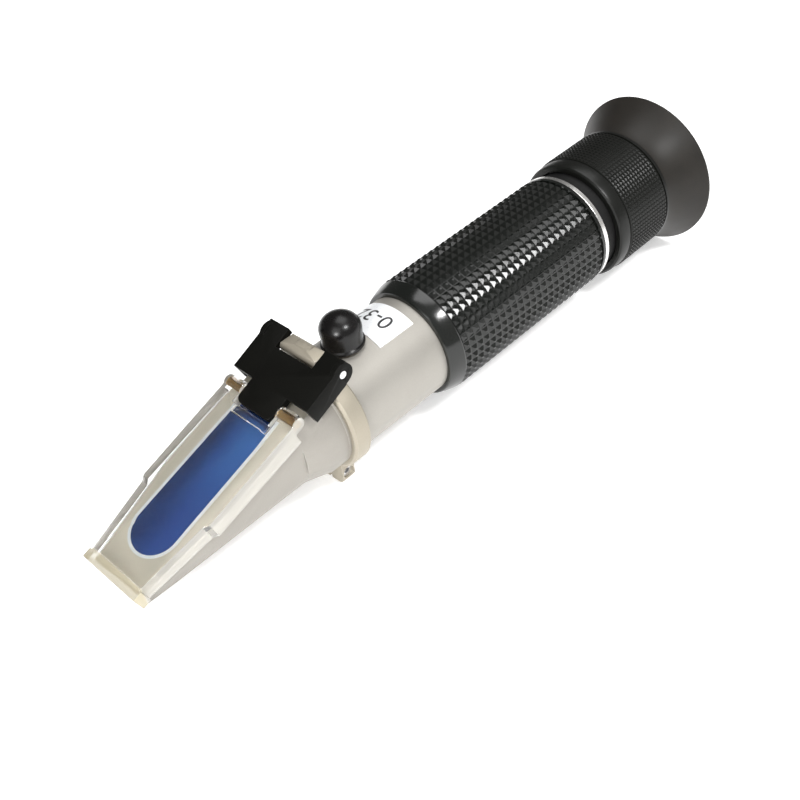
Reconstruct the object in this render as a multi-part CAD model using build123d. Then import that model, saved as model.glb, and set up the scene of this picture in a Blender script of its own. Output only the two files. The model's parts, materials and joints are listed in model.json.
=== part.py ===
"""Handheld refractometer: a slanted prism nose, a hinged clear plate, a rubber-gripped tube and a
focusing eyepiece.

Millimetres. The optical axis runs along X, from the nose tip (-X) to the eyecup (+X). Stations along
it are measured from the grip's front edge, and heights from the axis. place() moves each finished
piece into the part's own frame, which stands on Z = 0 under the middle of the whole length.
"""
import math
import os

from build123d import *

# ---------------------------------------------------------------- driving dimensions
CENTRE_X = 2.55              # station of the middle of the whole length
EYECUP_R = 18.6              # rim of the eyecup, and so the height of the axis above the ground

# Tube and grip
BARREL_R = 11.34
BARREL_BORE = 10.25
BARREL_FRONT = -28.0
BARREL_BACK = 50.4
GRIP_R = 13.5
TRIM_R = 13.3
TRIM_BACK = 51.8
NECK_R = 12.4
NECK_BACK = 60.5

# Nose
SLOPE_DEG = 19.14            # the prism face against the axis
TIP_X = -77.2
TIP_Z = -4.36                # height of the prism face at the tip
NOSE_R = 9.7                 # round underside
NOSE_HALF = 9.0              # flat sides
NOSE_TIP_HALF = 6.3
NOSE_FRONT_U = 0.9
TAPER_U = 22.0               # where the sides start to close in, along the slope from the tip
SHOULDER_FRONT = -31.4
SPIGOT_BACK = -21.5
SPIGOT_BORE = 7.6
LIGHT_BORE = 5.0             # light's way from the prism to the spigot
LIGHT_FRONT = -48.0
BLEND_LENGTH = 6.0           # swell of the underside up to the shoulder
BEVEL_DEG = 40.0             # underside of the tip
TIP_LIP = 1.9                # height left at the tip's front face

# Prism window, in the slope's own frame: U along it from the tip, N out of it
WINDOW_HALF = 5.4
WINDOW_ROUND_U = 12.1        # centre of the window's round end
WINDOW_BACK_U = 40.4
PRISM_DEPTH = 5.0
SEAL = 0.6                   # width of the bead round the prism
SEAL_PROUD = 0.08

# Clear plate
PLATE_GAP = 0.15             # film of liquid under it
PLATE_TOP = 2.5
PLATE_HALF = 10.25
PLATE_TIP_HALF = 7.35
PLATE_WAIST_U = 17.0         # outer step where the plate narrows
PLATE_WAIST_HALF = 9.35
PLATE_TAB_HALF = 8.2         # finger tabs at the tip corners
PLATE_WALL = 1.1
PLATE_INNER_TIP_HALF = 6.45
PLATE_SKIRT = 1.2            # how far its walls reach below the prism face at the tip
PLATE_SKIRT_DEG = 1.7        # the walls deepen towards the hinge
PLATE_FRONT_U = -0.3
PLATE_STEP_U = 37.6          # rear end of the pressing face
PLATE_CUT_U = 39.2           # front of the opening for the tongue
PLATE_PIN_U = 42.4
PLATE_PIN_R = 0.6
PLATE_EAR_R = 1.5
PLATE_PIN_HALF = 9.8

# Hinge plate, in its own frame: U up its slope from the hinge pin, N out of its top
HINGE_X = -25.9
HINGE_Z = 15.4
HINGE_DEG = 23.4
HINGE_TOP = 1.83
HINGE_THICK = 1.5
WING_HALF = 10.8
WING_BACK_U = 2.1
WING_FRONT_U = -9.7
TONGUE_HALF = 5.0
TONGUE_FRONT_U = -15.1
NOTCH_HALF = 5.35
NOTCH_FRONT_U = -2.3
CHEEK_WALL = 1.2
CHEEK_LOW = -2.6
CHEEK_END_R = 2.4
CHEEK_FLAT = 0.6             # lower corner taken off ahead of the rounded end
KNUCKLE_R = 1.1
HINGE_PIN_R = 0.8
RUNNING = 0.04               # radial clearance of a turning fit

# Clamp collar
COLLAR_FRONT = -27.5
COLLAR_BACK = -23.1
COLLAR_R = 12.67
LUG_HALF = 5.0
LUG_R = 2.0
LUG_CROWN_R = 17.3           # the lug's top is arched about the axis
EAR_FRONT = -26.3
EAR_BACK = -23.1
EAR_HALF = 4.4
EAR_SLIT = 0.8
EAR_LOW = EYECUP_R           # the ears stand on the ground with the eyecup
CLAMP_Z = -15.7
CLAMP_SCREW_R = 0.9
CLAMP_HEAD_R = 1.4
CLAMP_SUNK = 0.7             # depth of the screw's head below the ear's face
CLAMP_SEAT = 2.1             # depth of the head's seat
EAR_CORNER_R = 2.3

# Calibration
CAP_X = -16.6
CAP_R = 4.35
CAP_BASE_R = 4.55
CAP_LOW = 11.5               # flat underside, just clear of the tube
CAP_TOP = 18.8
DOME = 3.5
BUSH_R = 3.3
BUSH_TOP = 14.2
ADJUST_R = 1.5               # thread of the adjusting screw
ADJUST_HEAD_R = 2.2
CELL_R = 9.5
CELL_HALF = 2.8
OBJECTIVE_R = 6.6
LENS_RING_FRONT = 1.0        # behind the middle of the lens cell
LENS_THREAD = 1.2            # how far the ring's thread stands outside the lens

# Focusing eyepiece
RING_FRONT = 55.0
RING_BACK = 73.1
RING_R = 14.64
SLEEVE_FRONT = 40.0
SLEEVE_BORE = 9.0
EYE_TUBE_FRONT = 44.0
EYE_TUBE_BACK = 75.6
EYE_TUBE_BORE = 7.6
CUP_BACK = 83.4
CUP_ROOT_R = 14.3
CUP_RIM = 0.6                # thickness of the rim, and its width along the axis
FLARE_POWER = 1.6             # how late the outside of the cup flares
BOWL_POWER = 1.5              # how late the inside of the cup opens
CURVE_STEPS = 8               # straight facets along each of the two curves
BOWL_R = 12.4                # of the hollow, where it meets its floor
CUP_THROAT_R = 9.6
O_RING_X = 47.0
O_RING_WIDTH = 1.2
O_RING_BORE = 8.2

# Small screws
GRUB_ANGLES = (90, 210, 330)
GRUB_X = (COLLAR_FRONT + COLLAR_BACK) / 2
GRUB_R = 1.0
CLAMP_X = (EAR_FRONT + EAR_BACK) / 2
STRIP_SCREWS = (8.0, 12.0)
STRIP_SCREW_R = 0.7
STRIP_TOP = -7.7

# Label
LABEL_THICK = 0.15
LABEL_X = (-12.0, -2.6)
LABEL_Y = (-5.6, 9.0)

# ---------------------------------------------------------------- frames and helpers
START = (Align.CENTER, Align.CENTER, Align.MIN)


def tilted(x, z, degrees):
    """Plane at (x, z) on the axis plane, its X up a slope towards the eyecup, its Z out of the slope."""
    tilt = math.radians(degrees)
    up_slope = (math.cos(tilt), 0, math.sin(tilt))
    out_of_slope = (-math.sin(tilt), 0, math.cos(tilt))
    return Plane((x, 0, z), x_dir=up_slope, z_dir=out_of_slope)


SLOPE = tilted(TIP_X, TIP_Z, SLOPE_DEG)
HINGE = tilted(HINGE_X, HINGE_Z, HINGE_DEG)
PLATE_PIN_N = PLATE_GAP + PLATE_EAR_R
SKIRT_DEEPEST = 3.0
PLATE_PIN_AT = SLOPE.from_local_coords((PLATE_PIN_U, 0, PLATE_PIN_N))


def rod_x(x0, x1, r):
    """Solid cylinder on the axis from station x0 to x1."""
    return Pos(x0, 0, 0) * Rot(0, 90, 0) * Cylinder(r, x1 - x0, align=START)


def ring_x(x0, x1, r_out, r_in):
    """Hollow cylinder on the axis."""
    return rod_x(x0, x1, r_out) - rod_x(x0 - 1, x1 + 1, r_in)


def rod_y(x, z, r, y0, y1):
    """Cylinder across the axis, from y0 to y1."""
    return Pos(x, y0, z) * Rot(-90, 0, 0) * Cylinder(r, y1 - y0, align=START)


def rod_z(x, z0, z1, r):
    """Upright cylinder standing over the axis."""
    return Pos(x, 0, z0) * Cylinder(r, z1 - z0, align=START)


def block(x0, x1, y0, y1, z0, z1):
    """Box between two corners."""
    return Pos(x0, y0, z0) * Box(x1 - x0, y1 - y0, z1 - z0, align=(Align.MIN, Align.MIN, Align.MIN))


def turned(points):
    """Solid of revolution about the axis from (station, radius) points."""
    profile = Plane.XZ * make_face(Polyline(*points, close=True))
    return revolve(profile, Axis.X)


def bevel_ends(solid, length, radius_at_least):
    """Chamfer the large circular edges at both ends of a turned piece."""
    rims = [e for e in solid.edges().filter_by(GeomType.CIRCLE) if e.radius > radius_at_least]
    return chamfer(rims, length)


def place(solid):
    """From the axis-centred working frame to the part's frame."""
    return Pos(-CENTRE_X, 0, EYECUP_R) * solid


def on_slope(u0, u1, half, n0, n1):
    """Block on the prism face."""
    return SLOPE * block(u0, u1, -half, half, n0, n1)


def slab_outline(points, n0, n1):
    """Slab on the prism face, mirrored about its middle from (U, half width) points."""
    outline = points + [(u, -half) for u, half in reversed(points)]
    return SLOPE * Pos(0, 0, n0) * extrude(make_face(Polyline(*outline, close=True)), n1 - n0)


def window_slab(margin, n0, n1):
    """Slab in the window's outline: straight sides and one round end."""
    half = WINDOW_HALF + margin
    sides = block(WINDOW_ROUND_U, WINDOW_BACK_U + margin, -half, half, n0, n1)
    end = Pos(WINDOW_ROUND_U, 0, n0) * Cylinder(half, n1 - n0, align=START)
    return SLOPE * (sides + end)


# ---------------------------------------------------------------- nose
def nose_housing():
    """Casting with a round underside and flat sides, cut by the slanted prism face."""
    past_end = 60.0
    body = rod_x(TIP_X - 5, SHOULDER_FRONT, NOSE_R)
    body += block(TIP_X - 5, SHOULDER_FRONT, -NOSE_HALF, NOSE_HALF, 0, 14)
    sides = [(NOSE_FRONT_U, NOSE_TIP_HALF), (TAPER_U, NOSE_HALF), (past_end, NOSE_HALF)]
    body &= slab_outline(sides, -40, 0)
    body -= tilted(TIP_X, TIP_Z - TIP_LIP, -BEVEL_DEG) * block(-10, past_end, -20, 20, -30, 0)
    shoulder = rod_x(SHOULDER_FRONT, BARREL_FRONT, BARREL_R) + rod_x(BARREL_FRONT, SPIGOT_BACK, BARREL_BORE)
    body += shoulder & on_slope(-10, 80, 20, -40, 4)
    swell_start = Plane((SHOULDER_FRONT - BLEND_LENGTH, 0, 0), z_dir=(1, 0, 0)) * Circle(NOSE_R - 0.05)
    swell_end = Plane((SHOULDER_FRONT, 0, 0), z_dir=(1, 0, 0)) * Circle(BARREL_R)
    body += loft([swell_start, swell_end]) & on_slope(-10, 80, 20, -60, 0)
    body -= window_slab(SEAL, -PRISM_DEPTH, 5)
    body -= rod_x(LIGHT_FRONT, SPIGOT_BACK + 1, LIGHT_BORE)
    body -= rod_x(SHOULDER_FRONT, SPIGOT_BACK + 1, SPIGOT_BORE)
    for angle in GRUB_ANGLES:
        body -= grub(angle)
    return body


def prism():
    """Blue measuring prism, its face flush with the nose."""
    return window_slab(0, -PRISM_DEPTH, 0)


def prism_sealant():
    """White bead between the prism and its pocket, standing a little proud."""
    return window_slab(SEAL, -PRISM_DEPTH, SEAL_PROUD) - window_slab(0, -PRISM_DEPTH - 1, 1)


# ---------------------------------------------------------------- clamp collar and hinge
def hinge_collar():
    """Split clamp ring with an arched hinge lug on top and two screw ears below."""
    ring = rod_x(COLLAR_FRONT, COLLAR_BACK, COLLAR_R)
    ring = bevel_ends(ring, 0.5, COLLAR_R - 1)
    lug = rod_y(HINGE_X, HINGE_Z, LUG_R, -LUG_HALF, LUG_HALF)
    lug += block(HINGE_X - LUG_R + 0.4, COLLAR_BACK - 0.3, -LUG_HALF, LUG_HALF, 10.5, HINGE_Z)
    lug &= rod_x(COLLAR_FRONT - 1, COLLAR_BACK + 1, LUG_CROWN_R)
    ears = block(EAR_FRONT, EAR_BACK, -EAR_HALF, EAR_HALF, -EAR_LOW, -11.5)
    corners = ears.edges().filter_by(Axis.X).sort_by(Axis.Z)[:2]
    ears = fillet(corners, EAR_CORNER_R)
    body = ring + lug + ears
    body -= rod_x(COLLAR_FRONT - 1, COLLAR_BACK + 1, BARREL_R)
    body -= block(COLLAR_FRONT - 1, COLLAR_BACK + 1, -EAR_SLIT / 2, EAR_SLIT / 2, -EAR_LOW - 1, -10)
    body -= rod_y(HINGE_X, HINGE_Z, HINGE_PIN_R, -LUG_HALF - 1, LUG_HALF + 1)
    return body - clamp_hole()


def clamp_hole():
    """Hole through both ears, widened for the screw's head on the near side."""
    shank = rod_y(CLAMP_X, CLAMP_Z, CLAMP_SCREW_R, -EAR_HALF - 1, EAR_HALF + 1)
    return shank + rod_y(CLAMP_X, CLAMP_Z, CLAMP_HEAD_R, -EAR_HALF - 1, -EAR_HALF + CLAMP_SEAT)


def collar_screw():
    """Socket screw that closes the collar, its head sunk in the near ear."""
    top = -EAR_HALF + CLAMP_SUNK
    screw = rod_y(CLAMP_X, CLAMP_Z, CLAMP_SCREW_R, top, EAR_HALF - 0.3)
    screw += rod_y(CLAMP_X, CLAMP_Z, CLAMP_HEAD_R, top, -EAR_HALF + CLAMP_SEAT)
    socket = Pos(CLAMP_X, top - 1, CLAMP_Z) * Rot(-90, 0, 0) * extrude(RegularPolygon(0.8, 6), 1.9)
    return screw - socket


def hinge_pin():
    """Steel pin held in the collar's lug, its ends flush with the cheeks."""
    return rod_y(HINGE_X, HINGE_Z, HINGE_PIN_R, -WING_HALF, WING_HALF)


def hinge_plate():
    """Black tee-shaped plate with two side cheeks and a knuckle under its tongue."""
    low = HINGE_TOP - HINGE_THICK
    wings = block(WING_FRONT_U, WING_BACK_U, -WING_HALF, WING_HALF, low, HINGE_TOP)
    tongue = block(TONGUE_FRONT_U, WING_FRONT_U + 1, -TONGUE_HALF, TONGUE_HALF, low, HINGE_TOP)
    tongue = fillet(tongue.edges().filter_by(Axis.Z).sort_by(Axis.X)[:2], 1.6)
    plate = wings + tongue
    plate -= block(NOTCH_FRONT_U, WING_BACK_U + 1, -NOTCH_HALF, NOTCH_HALF, low - 1, HINGE_TOP + 1)
    for side in (-1, 1):
        y0, y1 = sorted((side * WING_HALF, side * (WING_HALF - CHEEK_WALL)))
        cheek = block(WING_FRONT_U, 0, y0, y1, CHEEK_LOW, HINGE_TOP)
        cheek += Pos(0, y0, 0) * Rot(-90, 0, 0) * Cylinder(CHEEK_END_R, y1 - y0, align=START)
        cheek -= block(-CHEEK_FLAT, 0, y0, y1, CHEEK_LOW, -CHEEK_END_R)
        plate += cheek
    solid = HINGE * plate
    solid += rod_y(PLATE_PIN_AT.X, PLATE_PIN_AT.Z, KNUCKLE_R, -TONGUE_HALF, TONGUE_HALF)
    solid -= rod_y(HINGE_X, HINGE_Z, HINGE_PIN_R + RUNNING, -WING_HALF - 1, WING_HALF + 1)
    return solid - rod_y(PLATE_PIN_AT.X, PLATE_PIN_AT.Z, PLATE_PIN_R + RUNNING, -WING_HALF, WING_HALF)


def daylight_plate():
    """Clear plate with a skirt round three sides of the nose and two ears for its pin."""
    outer = [(PLATE_FRONT_U, PLATE_TIP_HALF), (PLATE_WAIST_U, PLATE_WAIST_HALF),
             (PLATE_WAIST_U + 1.2, PLATE_HALF), (PLATE_PIN_U, PLATE_HALF)]
    slab = slab_outline(outer, -SKIRT_DEEPEST, PLATE_TOP)
    slab += on_slope(PLATE_FRONT_U, PLATE_FRONT_U + 2, PLATE_TAB_HALF, -SKIRT_DEEPEST, PLATE_TOP)
    below = tilted(0, 0, -PLATE_SKIRT_DEG) * block(-10, 80, -20, 20, -10, 0)
    slab -= SLOPE * Pos(PLATE_FRONT_U, 0, -PLATE_SKIRT) * below
    inner = [(PLATE_FRONT_U + PLATE_WALL, PLATE_INNER_TIP_HALF), (TAPER_U + 1, PLATE_HALF - PLATE_WALL),
             (PLATE_PIN_U + 3, PLATE_HALF - PLATE_WALL)]
    slab -= slab_outline(inner, -SKIRT_DEEPEST - 1, PLATE_GAP)
    slab -= on_slope(PLATE_CUT_U, PLATE_PIN_U + 3, TONGUE_HALF + 0.3, -3, 5)
    slab -= on_slope(PLATE_PIN_U - 1.5, PLATE_PIN_U + 3, PLATE_HALF + 1, -4, PLATE_GAP)
    slab -= on_slope(PLATE_STEP_U, PLATE_CUT_U + 1, TONGUE_HALF + 0.3, -3, PLATE_GAP + 0.5)
    for side in (-1, 1):
        y0, y1 = sorted((side * PLATE_HALF, side * (TONGUE_HALF + 0.3)))
        slab += rod_y(PLATE_PIN_AT.X, PLATE_PIN_AT.Z, PLATE_EAR_R, y0, y1)
    slab -= rod_y(PLATE_PIN_AT.X, PLATE_PIN_AT.Z, PLATE_PIN_R, -PLATE_PIN_HALF, PLATE_PIN_HALF)
    return slab


def plate_pin():
    """Brass pin held in the clear plate's ears, turning in the tongue's knuckle."""
    return rod_y(PLATE_PIN_AT.X, PLATE_PIN_AT.Z, PLATE_PIN_R, -PLATE_PIN_HALF, PLATE_PIN_HALF)


# ---------------------------------------------------------------- tube
def grub(angle):
    """Radial set screw that holds the nose's spigot in the tube."""
    return Rot(angle, 0, 0) * rod_z(GRUB_X, SPIGOT_BORE, BARREL_R - 0.25, GRUB_R)


def nose_grub_screws():
    """Three set screws under the collar, each with a hexagon socket."""
    screws = []
    for angle in GRUB_ANGLES:
        socket = Rot(angle, 0, 0) * Pos(GRUB_X, 0, BARREL_R - 1.2) * extrude(RegularPolygon(0.5, 6), 2)
        screws.append(grub(angle) - socket)
    return Part() + screws


def barrel_tube():
    """Plain metal tube from the nose's shoulder to the trim ring."""
    tube = ring_x(BARREL_FRONT, BARREL_BACK, BARREL_R, BARREL_BORE)
    tube -= rod_z(CAP_X, 5, 15, BUSH_R - 0.6)
    for angle in GRUB_ANGLES:
        tube -= grub(angle)
        tube -= Rot(angle, 0, 0) * rod_z(GRUB_X, BARREL_R - 1, BARREL_R + 1, GRUB_R)
    for x in STRIP_SCREWS:
        tube -= rod_z(x, -BARREL_R - 1, -8, STRIP_SCREW_R)
    return tube


def grip_sleeve():
    """Moulded rubber sleeve over the tube."""
    sleeve = ring_x(0, BARREL_BACK, GRIP_R, BARREL_R)
    front = [e for e in sleeve.edges().filter_by(GeomType.CIRCLE) if e.radius > GRIP_R - 0.1]
    return fillet(front, 1.5)


def trim_ring():
    """Bright ring that closes the grip's rear end."""
    ring = ring_x(BARREL_BACK, TRIM_BACK, TRIM_R, BARREL_BORE)
    return bevel_ends(ring, 0.25, TRIM_R - 0.1)


def label():
    """Thin white plate bent round the top of the tube behind the cap."""
    shell = ring_x(*LABEL_X, BARREL_R + LABEL_THICK, BARREL_R)
    return shell & block(*LABEL_X, *LABEL_Y, 0, 20)


# ---------------------------------------------------------------- calibration
def calibration_bush():
    """Brass bush through the top of the tube, threaded for the adjusting screw."""
    flange = rod_z(CAP_X, BARREL_R - 0.8, BUSH_TOP, BUSH_R) - rod_x(CAP_X - 9, CAP_X + 9, BARREL_R)
    spigot = rod_z(CAP_X, BARREL_BORE, BARREL_R, BUSH_R - 0.6)
    bush = flange + spigot
    bush -= rod_z(CAP_X, 5, BUSH_TOP + 1, ADJUST_R + RUNNING)
    return bush - rod_z(CAP_X, BUSH_TOP - 2.2, BUSH_TOP + 1, ADJUST_HEAD_R + 0.1)


def calibration_screw():
    """Slotted adjusting screw whose collar turns in the lens cell's groove."""
    screw = rod_z(CAP_X, CELL_R - 1.6, BUSH_TOP - 1.6, ADJUST_R)
    screw += rod_z(CAP_X, BUSH_TOP - 1.7, BUSH_TOP - 0.5, ADJUST_HEAD_R)
    return screw - block(CAP_X - 4, CAP_X + 4, -0.35, 0.35, BUSH_TOP - 1.2, BUSH_TOP + 1)


def calibration_cap():
    """Domed rubber cap pushed over the bush."""
    dome_start = CAP_TOP - DOME
    wall = rod_z(CAP_X, CAP_LOW, dome_start, CAP_R) + rod_z(CAP_X, CAP_LOW, CAP_LOW + 0.9, CAP_BASE_R)
    corners = [(0, dome_start), (CAP_R, dome_start), (CAP_R, CAP_TOP), (0, CAP_TOP)]
    quarter = make_face(Polyline(*corners, close=True)) & (Pos(0, dome_start) * Ellipse(CAP_R, DOME))
    dome = Pos(CAP_X, 0, 0) * revolve(Plane.XZ * quarter, Axis.Z)
    cap = wall + dome
    return cap - rod_z(CAP_X, 5, BUSH_TOP + 0.4, BUSH_R + 0.08)


def lens_cell():
    """Ring that carries the objective and is shifted up or down by the adjusting screw."""
    cell = ring_x(CAP_X - CELL_HALF, CAP_X + CELL_HALF, CELL_R, OBJECTIVE_R)
    cell += ring_x(CAP_X - CELL_HALF, CAP_X - 1.55, OBJECTIVE_R, OBJECTIVE_R - 0.8)
    cell -= rod_x(CAP_X + LENS_RING_FRONT, CAP_X + CELL_HALF + 1, OBJECTIVE_R + LENS_THREAD)
    return cell - rod_z(CAP_X, CELL_R - 1.6, CELL_R + 1, ADJUST_R + RUNNING)


def lens_x(x0, x1, r, bulge):
    """Lens on the axis from station x0 to x1, both faces bulging outwards."""
    radius = (r * r + bulge * bulge) / (2 * bulge)
    half_way = radius - math.sqrt(radius * radius - r * r / 4)
    front = ThreePointArc((x0, 0), (x0 + half_way, r / 2), (x0 + bulge, r))
    back = ThreePointArc((x1 - bulge, r), (x1 - half_way, r / 2), (x1, 0))
    rim = Line((x0 + bulge, r), (x1 - bulge, r))
    profile = make_face(Curve() + [front, rim, back, Line((x1, 0), (x0, 0))])
    return revolve(Plane.XZ * profile, Axis.X)


def objective_lens():
    """Objective cemented in the lens cell."""
    return lens_x(CAP_X - 2.2, CAP_X + 1.6, OBJECTIVE_R, 0.9)


def lens_ring():
    """Threaded ring that keeps the objective in its cell."""
    return ring_x(CAP_X + LENS_RING_FRONT, CAP_X + CELL_HALF, OBJECTIVE_R + LENS_THREAD, OBJECTIVE_R - 1)


def bimetal_strip():
    """Two-metal strip of the temperature compensation, screwed to the tube wall at its rear end."""
    strip = block(CAP_X + CELL_HALF + 0.6, 14.0, -2.5, 2.5, -8.4, STRIP_TOP)
    foot = block(6.0, 14.0, -2.5, 2.5, -11.0, -8.4) & rod_x(5, 15, BARREL_BORE)
    body = strip + foot
    for x in STRIP_SCREWS:
        body -= rod_z(x, -12, -7, STRIP_SCREW_R)
    return body


def strip_screws():
    """Two small screws through the strip into the tube wall."""
    screws = []
    for x in STRIP_SCREWS:
        screw = rod_z(x, -BARREL_R + 0.1, STRIP_TOP, STRIP_SCREW_R)
        screw += rod_z(x, STRIP_TOP, STRIP_TOP + 0.8, 1.4)
        screws.append(screw - block(x - 2, x + 2, -0.2, 0.2, -7.2, -6.5))
    return Part() + screws


def field_baffle():
    """Black washer that stops stray light in the tube."""
    return ring_x(20.0, 21.2, BARREL_BORE, 6.2)


def reticle_cell():
    """Ring that holds the scale glass in front of the eyepiece."""
    cell = ring_x(34.0, 39.8, BARREL_BORE, 7.0)
    return cell - ring_x(36.0, 37.6, 8.2, 6.0)


def reticle():
    """Scale glass."""
    return rod_x(36.0, 37.6, 8.2)


# ---------------------------------------------------------------- eyepiece
def helicoid_sleeve():
    """Fixed threaded sleeve whose black neck shows behind the trim ring."""
    inner = rod_x(SLEEVE_FRONT, TRIM_BACK, BARREL_BORE)
    neck = rod_x(TRIM_BACK, NECK_BACK, NECK_R)
    return inner + neck - rod_x(SLEEVE_FRONT - 1, NECK_BACK + 1, SLEEVE_BORE)


def eyepiece_tube():
    """Threaded tube that carries the eye lenses and screws in and out of the sleeve."""
    tube = ring_x(EYE_TUBE_FRONT, EYE_TUBE_BACK, SLEEVE_BORE - 0.05, EYE_TUBE_BORE)
    tube += ring_x(EYE_TUBE_FRONT, 49.8, EYE_TUBE_BORE, 6.4)
    return tube - ring_x(O_RING_X - 0.65, O_RING_X + 0.65, 12, O_RING_BORE - 0.03)


def focus_o_ring():
    """Rubber ring in the eyepiece tube's groove that rubs on the sleeve's bore."""
    half = O_RING_WIDTH / 2
    return ring_x(O_RING_X - half, O_RING_X + half, SLEEVE_BORE - 0.07, O_RING_BORE)


def focus_ring():
    """Knurled ring fixed to the eyepiece tube, its skirt over the sleeve's neck."""
    clearance = NECK_R + 0.35
    ring = rod_x(RING_FRONT, RING_BACK, RING_R)
    rim = [e for e in ring.edges().filter_by(GeomType.CIRCLE)]
    ring = fillet(rim, 0.5)
    ring -= rod_x(RING_FRONT - 1, NECK_BACK + 2.9, clearance)
    return ring - rod_x(RING_FRONT, RING_BACK + 1, SLEEVE_BORE - 0.05)


def eyecup():
    """Flared rubber cup on the rear of the eyepiece."""
    flare_length = CUP_BACK - CUP_RIM - RING_BACK
    bowl_depth = CUP_BACK - EYE_TUBE_BACK
    shares = [i / CURVE_STEPS for i in range(CURVE_STEPS + 1)]
    flare = [(RING_BACK + flare_length * share, CUP_ROOT_R + (EYECUP_R - CUP_ROOT_R) * share ** FLARE_POWER)
             for share in shares]
    bowl = [(EYE_TUBE_BACK + bowl_depth * share, BOWL_R + (EYECUP_R - CUP_RIM - BOWL_R) * share ** BOWL_POWER)
            for share in reversed(shares)]
    throat = [(EYE_TUBE_BACK, CUP_THROAT_R), (75.0, SLEEVE_BORE - 0.05), (RING_BACK, SLEEVE_BORE - 0.05)]
    return turned(flare + [(CUP_BACK, EYECUP_R)] + bowl + throat)


def eye_lens():
    """Rear lens of the eyepiece."""
    return lens_x(69.8, 73.6, EYE_TUBE_BORE, 1.2)


def lens_spacer():
    """Tube between the two eyepiece lenses."""
    return ring_x(52.7, 70.7, EYE_TUBE_BORE, 6.8)


def field_lens():
    """Front lens of the eyepiece, seated on the tube's inner ledge."""
    return lens_x(49.0, 53.6, EYE_TUBE_BORE, 1.2)


def eye_retainer():
    """Threaded ring that keeps the eye lens in the tube."""
    return ring_x(72.8, EYE_TUBE_BACK - 0.4, EYE_TUBE_BORE, 6.4)


PIECES = [nose_housing, prism, prism_sealant, hinge_collar, collar_screw, hinge_pin, hinge_plate,
          daylight_plate, plate_pin, nose_grub_screws, barrel_tube, grip_sleeve, trim_ring, label,
          calibration_bush, calibration_screw, calibration_cap, lens_cell, objective_lens, lens_ring,
          bimetal_strip, strip_screws, field_baffle, reticle_cell, reticle, helicoid_sleeve,
          eyepiece_tube, focus_o_ring, focus_ring, eyecup, eye_lens, lens_spacer, field_lens,
          eye_retainer]

os.makedirs("parts", exist_ok=True)
for piece in PIECES:
    export_step(place(piece()), f"parts/{piece.__name__}.step")
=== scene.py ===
# %% [markdown]
# # A handheld refractometer
# A drop of liquid goes on the blue prism, the clear plate closes over it, and the scale is read
# through the eyepiece. The CAD model gives every piece its size and place. This lesson adds what the
# eye wants to see: moulded pyramids, knurling, soft edges, glass, rubber and satin metal.

# %% Load the frame
import json
import math
import bpy
from mathutils import Matrix, Vector


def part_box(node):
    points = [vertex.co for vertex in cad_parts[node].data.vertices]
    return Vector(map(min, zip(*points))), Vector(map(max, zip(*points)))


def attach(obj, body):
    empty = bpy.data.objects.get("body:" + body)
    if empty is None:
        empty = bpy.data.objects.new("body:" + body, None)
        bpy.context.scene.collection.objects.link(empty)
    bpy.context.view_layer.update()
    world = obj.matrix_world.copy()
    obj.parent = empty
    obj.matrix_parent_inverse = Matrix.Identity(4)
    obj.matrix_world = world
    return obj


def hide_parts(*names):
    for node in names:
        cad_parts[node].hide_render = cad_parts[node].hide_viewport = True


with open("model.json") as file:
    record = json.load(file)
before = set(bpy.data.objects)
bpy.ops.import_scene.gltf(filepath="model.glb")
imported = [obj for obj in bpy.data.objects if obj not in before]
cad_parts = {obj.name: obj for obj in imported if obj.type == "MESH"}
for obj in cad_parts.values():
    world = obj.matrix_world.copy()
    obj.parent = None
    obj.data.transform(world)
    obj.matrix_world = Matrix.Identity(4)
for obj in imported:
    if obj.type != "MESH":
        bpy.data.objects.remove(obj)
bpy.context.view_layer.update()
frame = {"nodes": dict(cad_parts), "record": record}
MM = 0.001

# %% [markdown]
# Every round piece turns about the optical axis, which runs along X. Its height is the middle of the
# tube, so it is read from the tube instead of being typed in.

# %% The optical axis
tube_low, tube_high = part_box("barrel_tube")
AXIS_Z = (tube_low.z + tube_high.z) / 2
TUBE_R = (tube_high.z - tube_low.z) / 2
print(f"axis height {AXIS_Z / MM:.2f} mm, tube radius {TUBE_R / MM:.2f} mm")


# %% [markdown]
# Operators act on whatever is selected, so each step starts by selecting one piece and nothing else.
# Faces are then picked by where they are.

# %% Selecting by hand, in code
def only(piece):
    """Select one piece and make it the active one, in object mode."""
    if bpy.context.object and bpy.context.object.mode != "OBJECT":
        bpy.ops.object.mode_set(mode="OBJECT")
    bpy.ops.object.select_all(action="DESELECT")
    piece.select_set(True)
    bpy.context.view_layer.objects.active = piece
    return piece


def pick_faces(piece, wanted):
    """Enter edit mode with just the faces selected whose centre is wanted."""
    only(piece)
    mesh = piece.data
    mesh.vertices.foreach_set("select", [False] * len(mesh.vertices))
    mesh.edges.foreach_set("select", [False] * len(mesh.edges))
    for face in mesh.polygons:
        face.select = wanted(face.center)
    bpy.context.tool_settings.mesh_select_mode = (False, False, True)
    bpy.ops.object.mode_set(mode="EDIT")


def pick_all(piece):
    """Enter edit mode with the whole mesh selected."""
    only(piece)
    bpy.ops.object.mode_set(mode="EDIT")
    bpy.ops.mesh.select_all(action="SELECT")


def settle(piece, smooth_angle=30):
    """Leave edit mode, put the object's place into its mesh and smooth what isn't a real edge."""
    only(piece)
    bpy.ops.object.transform_apply(location=True, rotation=True, scale=True)
    bpy.ops.object.shade_smooth_by_angle(angle=math.radians(smooth_angle))
    print(f"{piece.name}: {len(piece.data.polygons)} faces")
    return piece


print("selection helpers ready")

# %% [markdown]
# Tube, rings and cups are turned on a lathe in real life, and Spin is Blender's lathe. A plane is
# merged to one point, the point is extruded along the profile, and the profile is spun once round.

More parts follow.
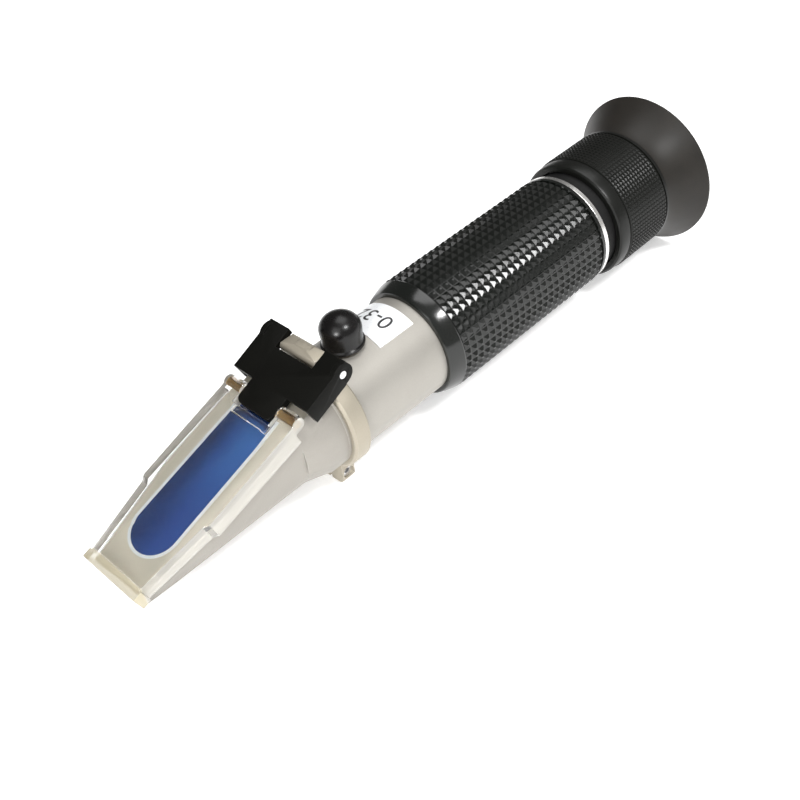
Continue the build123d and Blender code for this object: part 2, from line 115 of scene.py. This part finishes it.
# %% A lathe
ALONG_AXIS = {"axis": Vector((1, 0, 0)), "out": Vector((0, 0, 1))}
UPRIGHT = {"axis": Vector((0, 0, 1)), "out": Vector((1, 0, 0))}


def turned(name, profile, steps, centre, lathe):
    """Spin a closed profile of (distance along the axis, radius) points about the lathe's axis."""
    points = [centre + lathe["axis"] * along + lathe["out"] * radius for along, radius in profile]
    bpy.ops.mesh.primitive_plane_add(size=MM, location=points[0])
    piece = bpy.context.object
    piece.name = name
    bpy.context.tool_settings.mesh_select_mode = (True, False, False)
    pick_all(piece)
    bpy.ops.mesh.merge(type="CENTER")
    for before, after in zip(points, points[1:] + points[:1]):
        bpy.ops.mesh.extrude_vertices_move(TRANSFORM_OT_translate={"value": after - before})
    bpy.ops.mesh.select_all(action="SELECT")
    bpy.ops.mesh.spin(steps=steps, angle=2 * math.pi, center=centre, axis=lathe["axis"])
    bpy.ops.mesh.select_all(action="SELECT")
    bpy.ops.mesh.remove_doubles(threshold=0.002 * MM)
    bpy.ops.mesh.normals_make_consistent(inside=False)
    bpy.ops.object.mode_set(mode="OBJECT")
    return settle(piece)


print("lathe ready, along X and upright")

# %% [markdown]
# Cast and machined pieces have the right shape in CAD, but perfect edges that catch no light. A
# softened copy merges the loose triangles, clears the flat faces of needless edges, and rounds the
# real edges by a tenth or two of a millimetre.

# %% Softened copies
def softened(node, name, width, sharp_angle=28, smooth_angle=35):
    """Copy a CAD node as a piece whose edges sharper than sharp_angle are slightly rounded."""
    piece = bpy.data.objects.new(name, frame["nodes"][node].data.copy())
    bpy.context.scene.collection.objects.link(piece)
    pick_all(piece)
    bpy.ops.mesh.remove_doubles(threshold=0.001 * MM)
    bpy.ops.mesh.dissolve_limited(angle_limit=math.radians(1.0))
    bpy.ops.object.mode_set(mode="OBJECT")
    edge = piece.modifiers.new("edge", "BEVEL")
    edge.width = width
    edge.segments = 2
    edge.limit_method = "ANGLE"
    edge.angle_limit = math.radians(sharp_angle)
    edge.miter_outer = "MITER_ARC"
    only(piece)
    bpy.ops.object.modifier_apply(modifier=edge.name)
    return settle(piece, smooth_angle)


print("softener ready")

# %% [markdown]
# Shader maths reads best as plain arithmetic. A Signal wraps a socket, and adding or multiplying
# Signals adds Math nodes. Paint holds one material, and its node() makes every node of a material.

# %% Signals and paint
class Signal:
    """A number that varies over the surface."""

    def __init__(self, paint, socket):
        self.paint = paint
        self.socket = socket

    def maths(self, operation, first, second):
        return self.paint.node("ShaderNodeMath", {"operation": operation}, {0: first, 1: second})["Value"]

    def __add__(self, other):
        return self.maths("ADD", self, other)

    def __sub__(self, other):
        return self.maths("SUBTRACT", self, other)

    def __rsub__(self, other):
        return self.maths("SUBTRACT", other, self)

    def __mul__(self, other):
        return self.maths("MULTIPLY", self, other)

    __radd__ = __add__
    __rmul__ = __mul__


class Paint:
    """One material, built node by node."""

    def __init__(self, name, roughness, metallic=0.0, coat=0.0, **fixed):
        self.material = bpy.data.materials.new(name)
        self.material.use_nodes = True
        self.nodes = self.material.node_tree.nodes
        self.shader = next(n for n in self.nodes if n.type == "BSDF_PRINCIPLED")
        self.feed(self.shader, {"Roughness": roughness, "Metallic": metallic, "Coat Weight": coat, **fixed})
        self.place = self.node("ShaderNodeTexCoord", {}, {})["Object"]

    def feed(self, node, inputs):
        for key, value in inputs.items():
            socket = node.inputs[key] if isinstance(key, int) else next(
                s for s in node.inputs if s.name == key and s.enabled)
            if isinstance(value, Signal):
                self.material.node_tree.links.new(value.socket, socket)
            elif isinstance(value, tuple) and socket.type == "RGBA":
                socket.default_value = (*value, 1.0)
            else:
                socket.default_value = value

    def node(self, kind, settings, inputs):
        """Add a node, set it up, fill its sockets, and return its outputs by name."""
        made = self.nodes.new(kind)
        for key, value in settings.items():
            setattr(made, key, value)
        self.feed(made, inputs)
        return {s.name: Signal(self, s) for s in made.outputs if s.enabled}

    def noise(self, size, detail=2.0, place=None):
        """Soft random values from 0 to 1, with features about size metres across."""
        inputs = {"Vector": place or self.place, "Scale": 1 / size, "Detail": detail}
        found = self.node("ShaderNodeTexNoise", {}, inputs)
        return found["Fac"] if "Fac" in found else found["Factor"]

    def stretched(self, along, across):
        """Object coordinates squeezed so that a pattern runs in lines along or round the axis."""
        inputs = {"Vector": self.place, "Scale": (along, across, across)}
        return self.node("ShaderNodeMapping", {"vector_type": "TEXTURE"}, inputs)["Vector"]

    def coordinate(self, letter):
        return self.node("ShaderNodeSeparateXYZ", {}, {"Vector": self.place})[letter]

    def ramp(self, value, low, high):
        """0 below low, 1 above high, smooth between."""
        inputs = {"Value": value, "From Min": low, "From Max": high}
        return self.node("ShaderNodeMapRange", {"interpolation_type": "SMOOTHSTEP"}, inputs)["Result"]

    def mix(self, share, first, second):
        """A colour between two others."""
        settings = {"data_type": "RGBA"}
        return self.node("ShaderNodeMix", settings, {"Factor": share, "A": first, "B": second})["Result"]

    def bump(self, height, depth, strength=1.0):
        """Fine relief, depth metres high where height is 1."""
        inputs = {"Height": height, "Distance": depth, "Strength": strength}
        self.feed(self.shader, {"Normal": self.node("ShaderNodeBump", {}, inputs)["Normal"]})

    def edges(self, radius):
        """Near 1 on outer and inner edges and 0 on open faces."""
        round_normal = self.node("ShaderNodeBevel", {"samples": 4}, {"Radius": radius})["Normal"]
        true_normal = self.node("ShaderNodeNewGeometry", {}, {})["Normal"]
        settings = {"operation": "DOT_PRODUCT"}
        alike = self.node("ShaderNodeVectorMath", settings, {0: round_normal, 1: true_normal})["Value"]
        return self.ramp(1.0 - alike, 0.02, 0.2)


FINISHES = {}
print("paint kit ready")


# %% [markdown]
# The nose, tube and collar are aluminium, blasted with fine grit to a satin surface. Grit leaves tiny
# dimples, so the bump is a fine noise, and roughness drifts a little from place to place. Edges that
# hands rub go a shade brighter. The nose's sloping top is painted paler than its metal, because the
# clear plate over it holds back light. The price is that it looks too white with the plate open.

# %% Blasted aluminium
def blasted_metal(slot, light, dark, roughness, metallic=0.62, pale_top=None):
    """Satin metal with grit dimples, cloudy roughness, rubbed edges and maybe a paler top."""
    paint = Paint(slot, roughness, metallic)
    cloud = paint.noise(9 * MM, 3.0)
    grit = paint.noise(0.22 * MM, 2.0)
    rubbed = paint.edges(0.25 * MM)
    tone = paint.mix(cloud * 0.6 + grit * 0.4, dark, light)
    tone = paint.mix(rubbed * 0.35, tone, (0.95, 0.94, 0.92))
    if pale_top:
        facing = paint.node("ShaderNodeNewGeometry", {}, {})["True Normal"]
        upwards = paint.node("ShaderNodeSeparateXYZ", {}, {"Vector": facing})["Z"]
        tone = paint.mix(paint.ramp(upwards, 0.80, 0.92) * (cloud * 0.2 + 0.75), tone, pale_top)
    paint.feed(paint.shader, {"Base Color": tone, "Roughness": roughness + cloud * 0.1 - rubbed * 0.08})
    paint.bump(grit, 0.022 * MM, 0.7)
    FINISHES[slot] = paint.material


blasted_metal("cast_alloy", (0.38, 0.36, 0.325), (0.28, 0.265, 0.24), 0.50, metallic=0.40,
              pale_top=(0.86, 0.81, 0.68))
blasted_metal("tube_alloy", (0.45, 0.43, 0.395), (0.33, 0.315, 0.285), 0.48)
blasted_metal("collar_alloy", (0.46, 0.42, 0.345), (0.35, 0.315, 0.25), 0.48)
print("blasted metals:", sorted(FINISHES))


# %% [markdown]
# The trim ring, screws and pins are turned and polished. A lathe tool leaves fine grooves that run
# round the piece, so their noise is squeezed along X. Brass is the same metal finish in another tone.

# %% Turned metal
def turned_metal(slot, light, dark, roughness):
    """Bright metal with fine tool grooves and faint stains."""
    paint = Paint(slot, roughness, 1.0)
    grooves = paint.noise(1.0, 3.0, paint.stretched(0.06 * MM, 3 * MM))
    stain = paint.noise(1.6 * MM, 3.0)
    paint.feed(paint.shader, {"Base Color": paint.mix(stain, dark, light),
                              "Roughness": roughness + grooves * 0.12 + stain * 0.06})
    paint.bump(grooves, 0.004 * MM, 0.5)
    FINISHES[slot] = paint.material


turned_metal("bright_trim", (0.96, 0.95, 0.93), (0.88, 0.87, 0.85), 0.16)
turned_metal("steel", (0.80, 0.80, 0.80), (0.66, 0.66, 0.67), 0.22)
turned_metal("brass", (0.78, 0.56, 0.26), (0.62, 0.40, 0.17), 0.25)
turned_metal("bimetal", (0.72, 0.62, 0.48), (0.52, 0.44, 0.34), 0.35)
print("turned metals done")

# %% [markdown]
# The measuring prism is blue glass over a dark tube. Painted shade makes it navy along its far side and
# rear, and painted light makes it lighter where light gets in, over a slightly cloudy depth. Its polish is
# the coat on top.

# %% Blue prism
prism_low, prism_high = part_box("prism")
paint = Paint("blue_glass", 0.18, coat=1.0)
paint.feed(paint.shader, {"Coat Roughness": 0.03, "IOR": 1.5})
along = paint.ramp(paint.coordinate("X"), prism_low.x + 8 * MM, prism_high.x - 6 * MM)
across = paint.ramp(paint.coordinate("Y"), 4.5 * MM, -3.5 * MM)
depths = paint.noise(7 * MM, 3.0)
# Painted light: a brighter pool towards the near side and the back half, where light gets into the glass.
painted_light_pool = along * across * 0.75 + depths * 0.3
# Painted light and shade: the near side lighter, the far side painted navy.
tone = paint.mix(across * 0.8 + depths * 0.2, (0.008, 0.02, 0.085), (0.028, 0.07, 0.30))
tone = paint.mix(painted_light_pool, tone, (0.05, 0.16, 0.47))
# Painted shade: a navy band along the rear edge of the prism.
painted_rear_shade = paint.ramp(paint.coordinate("X"), prism_high.x - 4.2 * MM, prism_high.x - 3.0 * MM)
tone = paint.mix(painted_rear_shade * 0.85, tone, (0.012, 0.022, 0.085))
paint.feed(paint.shader, {"Base Color": tone, "Roughness": 0.14 + depths * 0.08})
FINISHES["blue_glass"] = paint.material
print("prism", prism_low, prism_high)

# %% [markdown]
# The bead round the prism is white sealant, smoothed with a finger: faintly lumpy and half gloss.

# %% Sealant and label
paint = Paint("sealant", 0.35)
lumps = paint.noise(0.9 * MM, 2.0)
paint.feed(paint.shader, {"Base Color": paint.mix(lumps, (0.80, 0.86, 0.88), (0.93, 0.95, 0.95)),
                          "Roughness": 0.28 + lumps * 0.2})
paint.bump(lumps, 0.03 * MM, 0.6)
FINISHES["sealant"] = paint.material

paint = Paint("label_white", 0.28)
fibres = paint.noise(0.5 * MM, 4.0)
paint.feed(paint.shader, {"Base Color": paint.mix(fibres, (0.84, 0.86, 0.89), (0.92, 0.93, 0.94)),
                          "Roughness": 0.22 + fibres * 0.14})
paint.bump(fibres, 0.004 * MM, 0.4)
FINISHES["label_white"] = paint.material

paint = Paint("label_ink", 0.35)
blots = paint.noise(0.3 * MM, 3.0)
paint.feed(paint.shader, {"Base Color": paint.mix(blots, (0.010, 0.010, 0.012), (0.035, 0.033, 0.035)),
                          "Roughness": 0.3 + blots * 0.2})
INK = paint.material
print("sealant and label done")

# %% [markdown]
# The plate is clear acrylic with polished faces. A Mix Shader adds painted light, cream where a face looks
# sideways in place of the light that the walls bend and throw back, and beige all over the front wall.
# Transmission stays one number for the whole piece. Wiping leaves haze, which breaks up the gloss.

# %% Clear plastic and glass
plate_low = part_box("daylight_plate")[0]
paint = Paint("clear_acrylic", 0.03, **{"Transmission Weight": 1.0, "IOR": 1.49})
wiping = paint.noise(1.0, 3.0, paint.stretched(6 * MM, 0.15 * MM))
haze = paint.noise(5 * MM, 2.0)
paint.feed(paint.shader, {"Base Color": paint.mix(haze, (0.985, 0.98, 0.965), (1.0, 1.0, 0.995)),
                          "Roughness": 0.015 + wiping * haze * 0.06})
facing = paint.node("ShaderNodeNewGeometry", {}, {})["True Normal"]
facing = paint.node("ShaderNodeSeparateXYZ", {}, {"Vector": facing})
# Painted light: cream on the faces that look sideways stands for light bent through the walls.
sideways_light = paint.ramp(facing["Y"] * facing["Y"], 0.5, 0.9)
FRONT_WALL, FADE = 2.0 * MM, 0.6 * MM
front = paint.ramp(paint.coordinate("X"), plate_low.x + FRONT_WALL + FADE, plate_low.x + FRONT_WALL)
# Cream painted light on the side walls, beige on the front wall.
wall_tone = paint.mix(front, (0.93, 0.90, 0.82), (0.52, 0.47, 0.34))
wall_inputs = {"Base Color": wall_tone, "Roughness": 0.3}
wall_shader = paint.node("ShaderNodeBsdfPrincipled", {}, wall_inputs)["BSDF"]
clear = Signal(paint, paint.shader.outputs["BSDF"])
wall_share = sideways_light * 0.34 + front * 0.55
blended = paint.node("ShaderNodeMixShader", {}, {0: wall_share, 1: clear, 2: wall_shader})["Shader"]
surface = next(n for n in paint.nodes if n.type == "OUTPUT_MATERIAL")
paint.feed(surface, {"Surface": blended})
FINISHES["clear_acrylic"] = paint.material

paint = Paint("lens_glass", 0.02, coat=0.4, **{"Transmission Weight": 1.0, "IOR": 1.52})
dust = paint.noise(1.2 * MM, 4.0)
paint.feed(paint.shader, {"Base Color": paint.mix(dust, (0.90, 0.95, 0.99), (0.97, 0.96, 1.0)),
                          "Roughness": 0.01 + dust * 0.02})
FINISHES["lens_glass"] = paint.material
print("clear materials done")


# %% [markdown]
# Black parts differ mostly in how they shine. Anodised metal is flat and fine, moulded rubber is
# smooth and oily, the eyecup is dull and dusty, and the inside of the tube is dead black.

# %% Blacks
def black(slot, deep, pale, roughness, grain_size, relief, shine=0.5, edge_tone=None):
    """A dark material with grain, cloudy sheen and, where asked, edges worn paler."""
    paint = Paint(slot, roughness, **{"Specular IOR Level": shine})
    grain = paint.noise(grain_size, 3.0)
    cloud = paint.noise(6 * MM, 3.0)
    tone = paint.mix(cloud * 0.6 + grain * 0.4, deep, pale)
    if edge_tone:
        tone = paint.mix(paint.edges(0.15 * MM) * 0.6, tone, edge_tone)
    sheen = roughness + cloud * 0.12 - 0.06 + grain * 0.05
    paint.feed(paint.shader, {"Base Color": tone, "Roughness": sheen})
    paint.bump(grain, relief, 0.6)
    FINISHES[slot] = paint.material


black("hinge_black", (0.002, 0.002, 0.0015), (0.005, 0.005, 0.004), 0.50, 0.18 * MM, 0.008 * MM, 0.10,
      edge_tone=(0.035, 0.035, 0.033))
black("cap_rubber", (0.002, 0.002, 0.002), (0.005, 0.004, 0.004), 0.24, 0.3 * MM, 0.006 * MM, 0.35)
black("grip_rubber", (0.003, 0.005, 0.004), (0.006, 0.006, 0.005), 0.14, 0.25 * MM, 0.004 * MM, 0.6)
black("ring_black", (0.004, 0.005, 0.004), (0.007, 0.007, 0.006), 0.30, 0.2 * MM, 0.005 * MM, 0.28)
black("cup_rubber", (0.006, 0.006, 0.0055), (0.024, 0.020, 0.016), 0.44, 0.25 * MM, 0.010 * MM, 0.3)
black("inner_black", (0.003, 0.003, 0.003), (0.010, 0.010, 0.010), 0.55, 0.2 * MM, 0.008 * MM, 0.3)
print("finishes:", sorted(FINISHES))

# %% [markdown]
# The CAD nodes that stay take their finish by the slot that the record gives them. Their meshes are
# left alone: a finish is only a new material in each of their slots.

# %% Finish the CAD nodes
SLOT_OF = {part["node"]: part["material_slot"] for part in frame["record"]["subparts"]}
for node, slot in SLOT_OF.items():
    for material_slot in frame["nodes"][node].material_slots:
        material_slot.material = FINISHES[slot]
print("finished", len(SLOT_OF), "CAD nodes")


def hang(piece, body, *nodes):
    """Finish a piece as the CAD node it stands for, and let it ride on its body."""
    slot = SLOT_OF[nodes[0]]
    piece.data.materials.clear()
    piece.data.materials.append(FINISHES[slot])
    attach(piece, body)
    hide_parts(*nodes)
    return piece


# %% [markdown]
# The grip is a rubber sleeve moulded with rows of small pyramids behind a smooth, round lip. The lathe
# gives a grid of cells. Inset with a little depth then lifts every cell into a pyramid at once.

# %% Grip with pyramids
grip_low, grip_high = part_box("grip_sleeve")
GRIP_R = (grip_high.z - grip_low.z) / 2
GRIP_LENGTH = grip_high.x - grip_low.x
ROWS, ROUND = 24, 44
PYRAMID = 0.62 * MM
GROOVE, SLOPE_WIDTH = 0.10 * MM, 0.62 * MM
LIP, REAR_LIP = 3.9 * MM, 0.9 * MM
valley = GRIP_R - PYRAMID
cells = [LIP + (GRIP_LENGTH - LIP - REAR_LIP) * i / ROWS for i in range(ROWS + 1)]
nose_round = [(0, GRIP_R - 1.45 * MM), (0.12 * MM, GRIP_R - 1.2 * MM), (0.45 * MM, GRIP_R - 1.0 * MM)]
taper = [(1.6 * MM, GRIP_R - 0.62 * MM), (2.9 * MM, GRIP_R - 0.25 * MM)]
profile = [(0, TUBE_R)] + nose_round + taper + [(LIP - 0.45 * MM, GRIP_R - 0.12 * MM),
                                                (LIP - 0.2 * MM, GRIP_R - 0.2 * MM)]
profile += [(x, valley) for x in cells]
REAR_R = GRIP_R - 0.1 * MM
profile += [(cells[-1] + 0.1 * MM, REAR_R), (GRIP_LENGTH, REAR_R), (GRIP_LENGTH, TUBE_R)]
grip_front = Vector((grip_low.x, 0, AXIS_Z))
grip = turned("grip", profile, ROUND, grip_front, ALONG_AXIS)


def is_cell(centre, first, last, radius):
    """True for a face whose centre lies between two stations, near one radius."""
    out = math.hypot(centre.y, centre.z - AXIS_Z)
    return first < centre.x < last and abs(out - radius) < 0.1 * MM


pick_faces(grip, lambda centre: is_cell(centre, grip_low.x + cells[0], grip_low.x + cells[-1], valley))
bpy.ops.mesh.inset(thickness=GROOVE, depth=0, use_individual=True)
bpy.ops.mesh.inset(thickness=SLOPE_WIDTH, depth=PYRAMID, use_individual=True)
bpy.ops.object.mode_set(mode="OBJECT")
settle(grip, 24)
hang(grip, "housing", "grip_sleeve")

# %% [markdown]
# The focusing ring is knurled in fine squares, with a smooth lip at the front that covers the neck.
# It is the same trick as the grip, on a finer grid, with lower studs.

# %% Knurled focusing ring
ring_low, ring_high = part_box("focus_ring")
RING_R = (ring_high.z - ring_low.z) / 2
RING_LENGTH = ring_high.x - ring_low.x
RING_BORE, SKIRT_BORE, SKIRT_DEPTH = 8.95 * MM, 12.75 * MM, 8.4 * MM
STUDS, STUDS_ROUND, STUD = 14, 92, 0.24 * MM
FLUTE, STUD_SLOPE = 0.10 * MM, 0.20 * MM
BAND, BACK_BAND = 3.7 * MM, 1.3 * MM
studs = [BAND + (RING_LENGTH - BAND - BACK_BAND) * i / STUDS for i in range(STUDS + 1)]
profile = [(0, SKIRT_BORE), (0, RING_R - 0.9 * MM), (0.25 * MM, RING_R - 0.5 * MM),
           (0.7 * MM, RING_R - 0.32 * MM), (BAND - 0.55 * MM, RING_R - 0.3 * MM),
           (BAND - 0.4 * MM, RING_R - 0.55 * MM),
           (BAND - 0.15 * MM, RING_R - 0.55 * MM)]
profile += [(x, RING_R - STUD) for x in studs]
profile += [(studs[-1] + 0.1 * MM, RING_R - 0.45 * MM), (studs[-1] + 0.25 * MM, RING_R - 0.45 * MM),
            (studs[-1] + 0.35 * MM, RING_R - 0.1 * MM), (RING_LENGTH - 0.3 * MM, RING_R - 0.1 * MM),
            (RING_LENGTH, RING_R - 0.4 * MM), (RING_LENGTH, RING_BORE), (SKIRT_DEPTH, RING_BORE),
            (SKIRT_DEPTH, SKIRT_BORE)]
focus_ring = turned("knurled_ring", profile, STUDS_ROUND, Vector((ring_low.x, 0, AXIS_Z)), ALONG_AXIS)
knurl_start, knurl_end = ring_low.x + studs[0], ring_low.x + studs[-1]
pick_faces(focus_ring, lambda centre: is_cell(centre, knurl_start, knurl_end, RING_R - STUD))
bpy.ops.mesh.inset(thickness=FLUTE, depth=0, use_individual=True)
bpy.ops.mesh.inset(thickness=STUD_SLOPE, depth=STUD, use_individual=True)
bpy.ops.object.mode_set(mode="OBJECT")
settle(focus_ring, 24)
hang(focus_ring, "eyepiece", "focus_ring")

# %% [markdown]
# The eyecup is soft rubber that flares like a trumpet, slowly at first and then quickly. A power curve
# draws that, and a second one hollows the bowl that the eye looks into.

# %% Eyecup
cup_low, cup_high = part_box("eyecup")
CUP_R = (cup_high.z - cup_low.z) / 2
CUP_LENGTH = cup_high.x - cup_low.x
ROOT_R, FLARE_END, BOWL_FLOOR = 14.3 * MM, CUP_LENGTH - 0.6 * MM, 2.5 * MM
FLARE_STEPS, FLARE_POWER = 18, 1.6
flare = [(FLARE_END * i / FLARE_STEPS, ROOT_R + (CUP_R - ROOT_R) * (i / FLARE_STEPS) ** FLARE_POWER)
         for i in range(FLARE_STEPS + 1)]
rim = [(CUP_LENGTH - 0.25 * MM, CUP_R), (CUP_LENGTH, CUP_R - 0.25 * MM), (CUP_LENGTH, CUP_R - 0.5 * MM)]
BOWL_R, BOWL_DEPTH = 12.4 * MM, CUP_LENGTH - BOWL_FLOOR
BOWL_MOUTH, BOWL_STEPS, BOWL_POWER = CUP_R - 0.7 * MM, 12, 1.5
bowl = [(BOWL_FLOOR + BOWL_DEPTH * i / BOWL_STEPS,
         BOWL_R + (BOWL_MOUTH - BOWL_R) * (i / BOWL_STEPS) ** BOWL_POWER)
        for i in range(BOWL_STEPS, -1, -1)]
throat = [(BOWL_FLOOR - 0.3 * MM, BOWL_R - 0.4 * MM), (BOWL_FLOOR - 0.3 * MM, 9.6 * MM),
          (1.9 * MM, RING_BORE), (0, RING_BORE)]
cup_front = Vector((cup_low.x, 0, AXIS_Z))
eyecup = turned("flared_cup", flare + rim + bowl + throat, 128, cup_front, ALONG_AXIS)
hang(eyecup, "eyepiece", "eyecup")

# %% [markdown]
# The rubber cap hides the adjusting screw. It is a soft thimble with a bead at its foot, walls that
# widen a little upwards, and a low dome. Underneath it is hollow, to push over the brass bush.

# %% Rubber cap
cap_low, cap_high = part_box("calibration_cap")
CAP_R = (cap_high.x - cap_low.x) / 2
CAP_H = cap_high.z - cap_low.z
DOME, HOLLOW, HOLLOW_H = 3.5 * MM, 3.38 * MM, 3.1 * MM
TOP_R, DOME_STEPS = 4.35 * MM, 14
foot = [(0, HOLLOW), (0, CAP_R - 0.2 * MM), (0.2 * MM, CAP_R), (0.65 * MM, CAP_R),
        (0.95 * MM, CAP_R - 0.3 * MM), (1.6 * MM, CAP_R - 0.36 * MM)]
climb = [math.pi / 2 * i / DOME_STEPS for i in range(DOME_STEPS + 1)]
dome = [(CAP_H - DOME * (1 - math.sin(angle)), TOP_R * math.cos(angle)) for angle in climb]
roof = [(HOLLOW_H, 0), (HOLLOW_H, HOLLOW)]
cap_centre = Vector(((cap_low.x + cap_high.x) / 2, 0, cap_low.z))
cap = turned("rubber_cap", foot + dome + roof, 64, cap_centre, UPRIGHT)
hang(cap, "cap", "calibration_cap")

# %% [markdown]
# The label is a thin plate, and its numbers are printed. Text made thick and cut with a thin curved
# shell gives printing that hugs the tube. The numbers are only a plain measuring range.

# %% Printed range
label_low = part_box("label")[0]
LABEL_R = TUBE_R + 0.15 * MM
INK_THICK, LETTER_HEIGHT, PRINT_WIDTH = 0.03 * MM, 5.2 * MM, 10 * MM
bpy.ops.object.text_add(location=(label_low.x + 6.9 * MM, 1.4 * MM, AXIS_Z + 10.6 * MM),
                        rotation=(0, 0, math.pi / 2))
numbers = bpy.context.object
numbers.name = "printed_range"
numbers.data.body = "0-32"
numbers.data.align_x = "CENTER"
numbers.data.size = LETTER_HEIGHT
numbers.data.extrude = 2.0 * MM
only(numbers)
bpy.ops.object.convert(target="MESH")
bpy.ops.object.transform_apply(location=True, rotation=True, scale=True)
pick_all(numbers)
bpy.ops.mesh.remove_doubles(threshold=0.002 * MM)
bpy.ops.mesh.normals_make_consistent(inside=False)
bpy.ops.object.mode_set(mode="OBJECT")
shell_profile = [(0, LABEL_R - INK_THICK), (0, LABEL_R + INK_THICK), (PRINT_WIDTH, LABEL_R + INK_THICK),
                 (PRINT_WIDTH, LABEL_R - INK_THICK)]
shell = turned("ink_shell", shell_profile, 128, Vector((label_low.x, 0, AXIS_Z)), ALONG_AXIS)
cut = numbers.modifiers.new("cut", "BOOLEAN")
cut.operation = "INTERSECT"
cut.object = shell
cut.solver = "EXACT"
only(numbers)
bpy.ops.object.modifier_apply(modifier=cut.name)
bpy.data.objects.remove(shell)
settle(numbers)
numbers.data.materials.clear()
numbers.data.materials.append(INK)
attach(numbers, "housing")

# %% [markdown]
# The nose, collar, hinge plate and clear plate keep their CAD shapes with softened edges, each as wide
# as the real edge looks: broad on the casting, crisp on stamped metal, polished on the acrylic.

# %% Softened nose, collar, hinge plate and clear plate
nose = softened("nose_housing", "nose_casting", 0.18 * MM, sharp_angle=48, smooth_angle=50)
hang(nose, "housing", "nose_housing")
hang(softened("hinge_collar", "clamp_collar", 0.12 * MM), "housing", "hinge_collar")
hang(softened("hinge_plate", "black_hinge", 0.14 * MM), "flap", "hinge_plate")
hang(softened("daylight_plate", "clear_cover", 0.16 * MM), "clear_plate", "daylight_plate")

# %% [markdown]
# The object lies on a plain white floor. A small key lamp on the near side models the shapes, and a low
# lamp beyond the nose is caught by the front faces of the grip's pyramids, which sparkle. Two big lamps
# soften the metal, and a pale room, dimmer on the far side, fills the shadows.

# %% Floor, room and lights
bpy.ops.mesh.primitive_plane_add(size=6, location=(0, 0, 0))
floor = bpy.context.object
floor.name = "floor"
floor_paint = Paint("floor_white", 0.85)
floor_paint.feed(floor_paint.shader, {"Base Color": (0.93, 0.93, 0.93), "Specular IOR Level": 0.2,
                                      "Emission Color": (1.0, 1.0, 1.0), "Emission Strength": 0.40})
floor.data.materials.append(floor_paint.material)

room = bpy.data.worlds.new("room")
bpy.context.scene.world = room
room.use_nodes = True
nodes, links = room.node_tree.nodes, room.node_tree.links
sky = nodes["Background"]
sky.inputs["Color"].default_value = (1.0, 0.99, 0.975, 1.0)
direction = nodes.new("ShaderNodeTexCoord")
parts = nodes.new("ShaderNodeSeparateXYZ")
links.new(direction.outputs["Generated"], parts.inputs["Vector"])
dimming = nodes.new("ShaderNodeMapRange")
dimming.interpolation_type = "SMOOTHSTEP"
NEAR_GLOW, FAR_GLOW = 0.46, 0.14
for key, value in {"From Min": -0.3, "From Max": 0.55, "To Min": NEAR_GLOW, "To Max": FAR_GLOW}.items():
    dimming.inputs[key].default_value = value
links.new(parts.outputs["Y"], dimming.inputs["Value"])
links.new(dimming.outputs["Result"], sky.inputs["Strength"])


def soft_light(name, place, aim, size, watts):
    """A square lamp at place, turned towards aim."""
    bpy.ops.object.light_add(type="AREA", location=place)
    lamp = bpy.context.object
    lamp.name = name
    lamp.data.energy = watts
    lamp.data.size = size
    lamp.rotation_euler = (Vector(aim) - Vector(place)).to_track_quat("-Z", "Y").to_euler()


soft_light("key", (0.06, -0.42, 0.60), (0, 0, 0.02), 0.09, 2.8)
soft_light("glint", (-0.50, -0.24, 0.28), (0.02, 0, 0.02), 0.15, 1.9)
soft_light("fill", (-0.65, -0.25, 0.70), (0, 0, 0.02), 0.6, 2.2)
soft_light("top", (0.25, 0.10, 0.95), (0, 0, 0.02), 0.6, 3.3)
print("floor and lights placed")

# %% [markdown]
# The camera looks down on the nose from its near side, rolled so that the tube climbs to the right.

# %% Camera
CAMERA_AT = Vector((-0.12380, -0.14319, 0.17244))
LOOK_AT = Vector((-0.00975, -0.00322, 0.00964))
ROLL = math.radians(-9.103)
bpy.ops.object.camera_add(location=CAMERA_AT)
camera = bpy.context.object
camera.rotation_euler = ((LOOK_AT - CAMERA_AT).to_track_quat("-Z", "Y").to_matrix()
                         @ Matrix.Rotation(ROLL, 3, "Z")).to_euler()
camera.data.lens = 51.707
camera.data.sensor_width = 36
camera.data.clip_start = 0.01
bpy.context.scene.camera = camera
bpy.context.scene.view_settings.view_transform = "Standard"
print("camera looks at", LOOK_AT)
